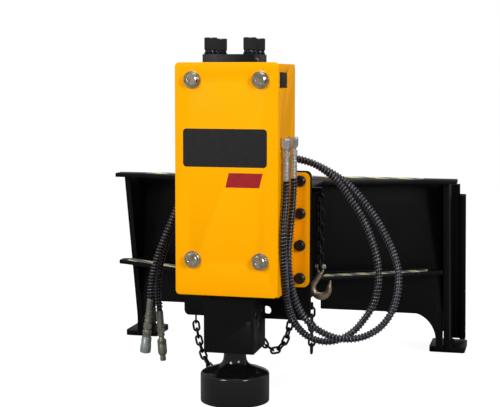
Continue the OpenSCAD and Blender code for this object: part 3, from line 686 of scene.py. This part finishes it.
def add_decals():
    """Plain printed panels on the front plate, with no lettering."""
    low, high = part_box("front_plate")
    right, front, base = high.x / MM, low.y / MM, low.z / MM
    back, face = front + 0.3, front - 0.35
    panel = [point for x, z, start in (
        (right - 42, base + 378, -90), (right - 42, base + 466, 0),
        (right - 266, base + 466, 90), (right - 266, base + 378, 180))
        for point in arc(x, z, 10, start, start + 90)]
    tag = [(right - 152, base + 311), (right - 54, base + 311), (right - 44, base + 352),
           (right - 142, base + 352)]
    piece("decal_panel", extruded(panel, face, back), "print_black", smooth=20)
    piece("decal_tag", extruded(tag, face, back), "print_red", smooth=20)


add_decals()


# ---------------------------------------------------------------- cup and nuts

def add_drive_cup():
    """The cup, closed on top by its neck round the shank."""
    outer = [(88.2, 0.6), (89.5, 0.0), (99.0, 0.0), (100.9, 0.8), (101.5, 2.6), (101.5, 79)]
    outer += arc(93.5, 79, 8, 0, 62, 7)
    outer += [(90, 89.2), (82, 92.6), (70, 96.4), (58, 100.4), (48, 105.2), (40.6, 111),
              (36, 118), (33.8, 126), (33, 135), (33, 153.4)]
    inner = [(20.2, 153.4), (20.2, 62), (88, 62)]
    cup = piece("drive_cup_shell", ring_lathe(outer + inner, 96), "cup_paint", "tool", 35)
    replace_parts(cup, "drive_cup")


def add_tie_rod_nuts():
    """Hexagon nuts with a blind top bore, over a keyed collar."""
    low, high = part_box("tie_rod_nuts")
    reach = 20.7 * MM
    top = (high.z - low.z) / MM
    verts, faces = hex_prism(37, 7, top, 0.09, both=True)
    nut = (verts, faces[:-1])
    bore = lathe([(16.8, top), (12.6, top), (11.9, top - 1.2), (11.9, top - 8), (0.2, top - 8)])
    collar = lathe([(15.2, 0), (17, 0.8), (17, 5.6), (15.6, 7.4)])
    key = extruded([(-2.2, 0.4), (2.2, 0.4), (2.2, 6.4), (-2.2, 6.4)], 15.2, 17.5)
    ring = join(*[moved(key, Matrix.Rotation(TAU * k / 6, 4, "Z")) for k in range(6)])
    nuts, keys = [], []
    for x in (low.x + reach, high.x - reach):
        for y in (low.y + reach, high.y - reach):
            at = Matrix.Translation((x, y, low.z)) @ Matrix.Rotation(math.radians(15), 4, "Z")
            nuts.append(moved(join(nut, bore, collar), at))
            keys.append(moved(ring, at))
    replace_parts(piece("tie_rod_nut_set", join(*nuts), "nut_paint", smooth=30),
                "tie_rod_nuts")
    key_set = piece("nut_collar_keys", join(*keys), "nut_paint", smooth=30)
    bevel(key_set, 0.8 * MM)
    finished(key_set, "nut_paint", smooth=40)


add_drive_cup()
add_tie_rod_nuts()


# ---------------------------------------------------------------- fasteners

def corners(node, inset):
    """Centres of four round fasteners, from the box round them all."""
    low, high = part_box(node)
    return [(x, z) for x in (low.x + inset, high.x - inset)
            for z in (low.z + inset, high.z - inset)]


def add_case_bolts():
    """Flanged bolts and washers that clamp the case round the hammer."""
    washer_r = 24.5
    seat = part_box("case_washers")[1].y
    depth = (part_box("case_bolts")[1].y - seat) / MM
    washer = ring_lathe([(12.4, 0), (washer_r - 0.5, 0), (washer_r, 0.6), (washer_r, 3.2),
                         (washer_r - 0.8, 4), (12.4, 4)])
    bolt = join(hex_prism(33, 6.4, 18.4, 0.11),
                lathe([(15.6, 18.3), (14.6, 19.0), (9.8, 19.0), (8.8, 18.2), (0.2, 18.2)]),
                lathe([(11.9, -depth), (11.9, 4.0), (20.6, 4.0), (21, 4.6), (18.6, 6.8)]))
    bolts, washers = [], []
    for n, (x, z) in enumerate(corners("case_washers", washer_r * MM)):
        at = facing((0, -1, 0), (x, seat, z), 0.35 + 0.5 * n)
        washers.append(moved(washer, at))
        bolts.append(moved(bolt, at))
    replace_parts(piece("case_bolt_set", join(*bolts), "yellow_zinc", smooth=30), "case_bolts")
    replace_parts(piece("case_bolt_washers", join(*washers), "yellow_zinc", smooth=30),
                "case_washers")


def add_bracket_bolts():
    """Two columns of bolts through the bracket plate."""
    low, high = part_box("bracket_bolts")
    inset = 17 * MM
    shares = (0, 99 / 292, 195 / 292, 1)
    rows = [low.z + inset + (high.z - low.z - 2 * inset) * share for share in shares]
    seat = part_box("bracket_plate")[0].y
    depth = (high.y - seat) / MM
    bolt = join(
        ring_lathe([(9.9, 0), (16.4, 0), (16.9, 0.6), (16.9, 3), (16.2, 3.8), (9.9, 3.8)]),
        lathe([(9.8, -depth), (9.8, 3.8), (16.0, 3.9), (16.0, 5.0), (14.4, 6.2)]),
        hex_prism(27, 5.4, 14, 0.1))
    bolts = []
    for x in (low.x + inset, high.x - inset):
        for n, z in enumerate(rows):
            bolts.append(moved(bolt, facing((0, -1, 0), (x, seat, z), 0.3 * n)))
    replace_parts(piece("bracket_bolt_set", join(*bolts), "black_fastener", smooth=30),
                "bracket_bolts")


def add_pin_plugs():
    """Threaded plugs with a round socket, in the front and the side of the head."""
    plug = join(
        ring_lathe([(3.6, 0.4), (7.7, 0.4), (7.7, 4.6), (7.0, 5.4), (4.2, 5.4), (3.6, 4.8)], 36),
        lathe([(3.7, 0.4), (3.7, 1.4), (0.2, 1.4)], 36))
    front_seat = Vector((58, -69, 245)) * MM
    side_seat = Vector((69.6, -21, 232)) * MM
    plugs = [moved(plug, facing((0, -1, 0), front_seat)),
             moved(plug, facing((1, 0, 0), side_seat))]
    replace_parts(piece("pin_plug_set", join(*plugs), "nut_paint", smooth=30),
                "pin_plugs")


add_case_bolts()
add_bracket_bolts()
add_pin_plugs()


# ---------------------------------------------------------------- hook

def add_hook():
    """Forged clevis hook, blended by a fine remesh."""
    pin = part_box("clevis_pin")
    centre = (pin[0] + pin[1]) / 2
    bend_x, bend_z, bend_r = 2.0, -66.5, 26.0
    ear_x = 8.4
    rows = [(-1, -18, 9.2), (-5, -29, 8.8), (-11.5, -40, 9.0)]
    for degrees in range(150, 371, 10):
        thick = 9.6 + 2.8 * math.exp(-((degrees - 268) / 45) ** 2)
        if degrees > 310:
            thick -= 1.6 * (degrees - 310) / 60
        a = math.radians(degrees)
        rows.append((bend_x + bend_r * math.cos(a), bend_z + bend_r * math.sin(a), thick))
    rows += [(29.6, -54, 5.2), (31.2, -47, 3.9), (32.2, -42, 2.4)]
    path = [Vector((x, 0, z)) * MM for x, z, _ in rows]

    def flattened(i, angle):
        return rows[i][2] * MM * math.hypot(0.84 * math.cos(angle), math.sin(angle))

    parts = [sweep(path, flattened, 24)]
    for side in (-1, 1):
        ear = ring_lathe([(4.15, -3), (8.2, -3), (9, -2), (9, 2), (8.2, 3), (4.15, 3)], 40)
        parts.append(moved(ear, facing((1, 0, 0), (side * ear_x * MM, 0, 0))))
        leg = [Vector(p) * MM for p in ((side * ear_x, 0, -6.6), (side * 8.0, 0, -11),
                                        (side * 5.2, 0, -16), (side * 1.5, 0, -21))]
        parts.append(sweep(leg, lambda i, _angle: (3.4 + 0.9 * i) * MM, 20))
    hook = piece("grab_hook_forged", moved(join(*parts), Matrix.Translation(centre)),
                 "hook_bronze", "hook")
    modifier(hook, "REMESH", mode="VOXEL", voxel_size=0.9 * MM)
    modifier(hook, "SMOOTH", factor=0.5, iterations=3)
    apply_modifiers(hook)
    finished(hook, "hook_bronze", smooth=80)
    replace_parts(hook, "grab_hook")
    ends = lathe([(0.2, -17.8), (4.4, -17.4), (6.4, -15.6), (6.6, -13.6), (5.8, -12.6),
                  (3.9, -12.4), (3.9, 12.4), (5.8, 12.6), (6.6, 13.6), (6.4, 15.6),
                  (4.4, 17.4), (0.2, 17.8)], 40)
    bolt = piece("clevis_pin_domed", moved(ends, facing((1, 0, 0), centre)), "bright_zinc",
                 "hook", 40)
    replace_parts(bolt, "clevis_pin")


add_hook()


# ---------------------------------------------------------------- welds

BEAD_R = 3.2
RIPPLE = 1.5


def bead(a, b):
    """A rippled weld bead between two points, in millimetres."""
    a, b = Vector(a) * MM, Vector(b) * MM
    count = max(6, round((b - a).length / (RIPPLE * MM)))
    path = [a.lerp(b, k / count) for k in range(count + 1)]

    def radius(i, _angle):
        end = min(i, count - i, 2) / 2
        return BEAD_R * MM * (0.45 + 0.55 * end) * (0.9 + 0.16 * math.cos(TAU * i / 3))

    return sweep(path, radius, 8)


def add_welds():
    """Beads where the webs, the legs and the tower meet their plates."""
    beads = []
    web_low, web_high = (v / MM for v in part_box("web_right"))
    deck_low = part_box("deck")[0].z / MM
    step_low, step_high = (v.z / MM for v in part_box("steps"))
    foot_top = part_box("feet")[1].z / MM
    leg_low, leg_high = (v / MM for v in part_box("leg_right"))
    mount_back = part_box("mount_plate")[1].y / MM
    tower_low, tower_high = (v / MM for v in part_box("tower_side_right"))
    near, far = web_low.y, web_high.y - 11.3
    for s in (-1, 1):
        def seam(x0, y0, z0, x1, y1, z1):
            beads.append(bead((s * x0, y0, z0), (s * x1, y1, z1)))

        for z in (deck_low - 1, step_high + 1, step_low - 1):
            seam(web_low.x + 6, near + 3, z, web_high.x - 6, far - 1, z)
        seam(web_high.x - 1, far, foot_top + 60, web_high.x - 1, far, deck_low - 6)
        seam(tower_high.x + 1, mount_back + 1, tower_low.z + 8,
             tower_high.x + 1, mount_back + 1, deck_low - 6)
        for x in (leg_low.x - 1, leg_high.x + 1):
            seam(x, leg_high.y - 140, foot_top + 1, x, leg_high.y - 6, foot_top + 1)
        seam(leg_low.x + 2, leg_high.y - 144, foot_top + 1, leg_high.x - 2, leg_high.y - 144,
             foot_top + 1)
    piece("weld_beads", join(*beads), "black_paint", smooth=80)


add_welds()


# ---------------------------------------------------------------- stage

def floor_material(seen=0.25, unseen=0.3, shine=0.9):
    """A pale floor that throws less light on the object than it shows."""
    p = Paint("floor", Roughness=0.9)
    rays = p.tree.nodes.new("ShaderNodeLightPath").outputs["Is Camera Ray"]
    p.link(p.mix(rays, (unseen, unseen, unseen, 1), (seen, seen, seen, 1)), "Base Color")
    p.shader.inputs["Specular IOR Level"].default_value = 0.0
    p.shader.inputs["Emission Color"].default_value = (1, 1, 1, 1)
    glow = p.node("ShaderNodeMath", {0: rays, 1: shine}, operation="MULTIPLY")
    p.link(glow.outputs[0], "Emission Strength")
    return p.material


def add_stage():
    bpy.ops.mesh.primitive_plane_add(size=120, location=(0, 0, -0.0005))
    floor = bpy.context.object
    floor.name = "floor"
    floor.data.materials.append(floor_material())


def add_light(name, at, target, size, watts):
    """A white panel of light at a place, aimed at a target, in metres."""
    data = bpy.data.lights.new(name, "AREA")
    data.shape = "RECTANGLE"
    data.size, data.size_y = size
    data.energy = watts
    light = bpy.data.objects.new(name, data)
    light.location = at
    light.rotation_euler = (Vector(target) - Vector(at)).to_track_quat("-Z", "Y").to_euler()
    bpy.context.scene.collection.objects.link(light)


def add_world():
    """White to the camera, softer on the object."""
    world = bpy.data.worlds.new("studio")
    world.use_nodes = True
    tree = world.node_tree
    background = tree.nodes["Background"]
    rays = tree.nodes.new("ShaderNodeLightPath").outputs["Is Camera Ray"]
    level = tree.nodes.new("ShaderNodeMapRange")
    level.inputs["To Min"].default_value = 0.42
    level.inputs["To Max"].default_value = 1.0
    tree.links.new(rays, level.inputs["Value"])
    tree.links.new(level.outputs["Result"], background.inputs["Strength"])
    background.inputs["Color"].default_value = (1, 1, 1, 1)
    bpy.context.scene.world = world
    bpy.context.scene.view_settings.view_transform = "Standard"


add_stage()
add_world()
add_light("key", (-1.7, -3.2, 2.5), (0, 0, 0.55), (0.9, 1.5), 95)
add_light("fill", (3.0, -2.4, 1.9), (0, 0.1, 0.55), (0.8, 1.5), 78)
add_light("top", (0.2, 0.6, 3.4), (0, 0.3, 0.3), (2.4, 2.0), 50)
